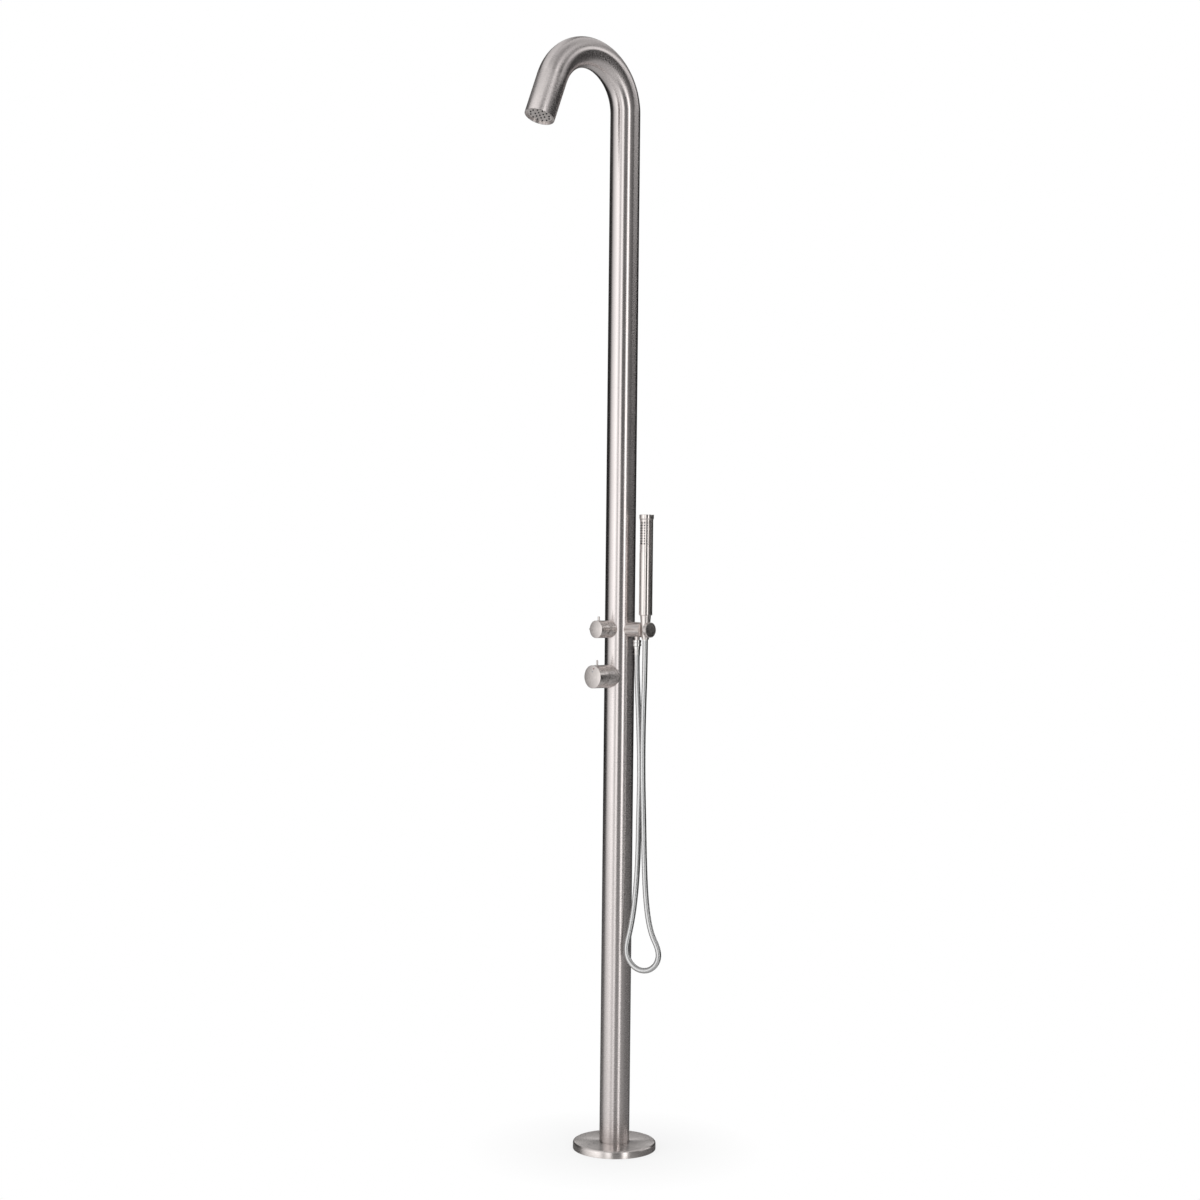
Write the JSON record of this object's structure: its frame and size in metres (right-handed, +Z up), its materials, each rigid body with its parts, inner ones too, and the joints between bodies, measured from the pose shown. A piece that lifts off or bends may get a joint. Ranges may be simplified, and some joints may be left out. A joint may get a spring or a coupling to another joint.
{
  "type": "outdoor shower",
  "caption": "Floor-standing outdoor shower: a round steel tube bent over at the top with a rose in its mouth, front knobs, and a hand shower on a side arm with a looped hose.",
  "frame": {"origin": "on the floor, at the centre of the foot's bolt circle, on the post's axis", "axes": "+Z up along the post; -Y is the front, where the spout and both knobs point; +X is towards the hand shower's arm"},
  "size_m": [0.2069, 0.3431, 2.2047],
  "materials": {
    "post_steel": "satin stainless, brushed along the tube",
    "plate_steel": "plain stainless plate",
    "cover_steel": "turned stainless with fine round marks",
    "turned_steel": "turned and polished stainless",
    "fitting_steel": "bright turned stainless",
    "hose_steel": "polished spiral stainless strip",
    "brass": "machined brass",
    "cartridge_plastic": "moulded plastic",
    "ceramic": "lapped ceramic",
    "seal_rubber": "black rubber",
    "nozzle_silicone": "dark silicone",
    "braided_hose": "braided sheath over rubber"
  },
  "bodies": {
    "post": {"cold_hose": "braided_hose", "diverter_base_seal": "seal_rubber", "diverter_body": "brass", "diverter_body_ring": "fitting_steel", "diverter_boss": "turned_steel", "diverter_cartridge_nut": "brass", "diverter_cartridge_shell": "cartridge_plastic", "diverter_fixed_disc": "ceramic", "feed_rings": "seal_rubber", "feed_tube": "fitting_steel", "floor_plate": "plate_steel", "hose_arm": "turned_steel", "hot_hose": "braided_hose", "inlet_nuts": "brass", "inlet_tails": "fitting_steel", "link_pipe": "brass", "mixer_base_seal": "seal_rubber", "mixer_body": "brass", "mixer_body_ring": "fitting_steel", "mixer_boss": "turned_steel", "mixer_cartridge_nut": "brass", "mixer_cartridge_shell": "cartridge_plastic", "mixer_fixed_disc": "ceramic", "outlet_ferrule": "fitting_steel", "outlet_nipple": "fitting_steel", "outlet_nut": "fitting_steel", "outlet_washer": "seal_rubber", "post_tube": "post_steel", "riser_fitting": "brass", "riser_pipe": "fitting_steel", "rose_housing": "fitting_steel", "rose_mat": "nozzle_silicone", "rose_plate": "fitting_steel", "rose_ring": "seal_rubber", "rose_screw": "fitting_steel", "shower_hose": "hose_steel", "supply_tails": "fitting_steel"},
    "cover": {"foot_cover": "cover_steel", "cover_ring": "seal_rubber"},
    "mixer_handle": {"mixer_knob": "turned_steel", "mixer_knob_pin": "turned_steel", "mixer_knob_screw": "fitting_steel", "mixer_spindle": "brass", "mixer_turning_disc": "ceramic"},
    "diverter_handle": {"diverter_knob": "turned_steel", "diverter_knob_pin": "turned_steel", "diverter_knob_screw": "fitting_steel", "diverter_spindle": "brass", "diverter_turning_disc": "ceramic"},
    "hose_end": {"hose_swivel": "fitting_steel"},
    "handset": {"handset_body": "turned_steel", "spray_strip": "nozzle_silicone", "handset_cap": "turned_steel", "cone_nut": "turned_steel", "handset_washer": "seal_rubber"}
  },
  "joints": [
    {"name": "cover_slide", "type": "slide", "parent": "post", "child": "cover", "axis": [0, 0, 1], "range_m": [0, 0.12]},
    {"name": "mixer_turn", "type": "hinge", "parent": "post", "child": "mixer_handle", "pos_m": [0, 0, 0.948], "axis": [0, -1, 0], "range_deg": [0, 180]},
    {"name": "diverter_turn", "type": "hinge", "parent": "post", "child": "diverter_handle", "pos_m": [0, 0, 1.042], "axis": [0, 1, 0], "range_deg": [0, 90]},
    {"name": "handset_lift", "type": "slide", "parent": "post", "child": "hose_end", "axis": [0, 0, 1], "range_m": [0, 0.06]},
    {"name": "handset_swivel", "type": "hinge", "parent": "hose_end", "child": "handset", "pos_m": [0.072, 0, 1.042], "axis": [0, 0, 1], "continuous": true}
  ]
}
